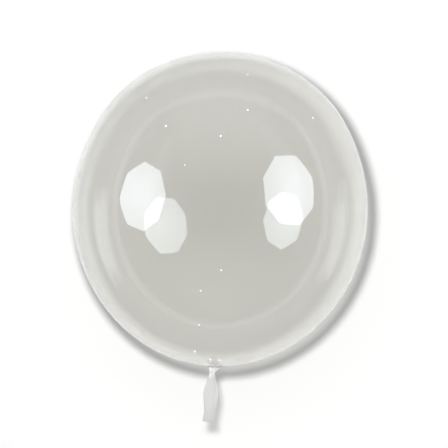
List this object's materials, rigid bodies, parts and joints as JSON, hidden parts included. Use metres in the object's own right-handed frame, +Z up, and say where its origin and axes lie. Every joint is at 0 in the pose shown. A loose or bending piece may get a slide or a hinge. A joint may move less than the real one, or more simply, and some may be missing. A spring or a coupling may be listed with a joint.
{
  "type": "clear bubble balloon",
  "caption": "Clear bubble balloon, filled and lying on its side: a round airtight film bubble with a pleated throat and a flat filling tail that a ribbon or clip fastens to.",
  "frame": {"origin": "middle of the small flat spot that the balloon lies on, under the bubble's centre", "axes": "+Y along the bubble's axis from tail to crown, +Z up from the floor, +X to the right of the axis seen from above"},
  "size_m": [0.59, 0.741, 0.587],
  "materials": {
    "clear_film": "clear stretched plastic film, mirror smooth with a faint grey cast, pale and milky where it is gathered and unstretched at the neck"
  },
  "bodies": {
    "root": {"balloon_film": "clear_film"}
  },
  "joints": []
}
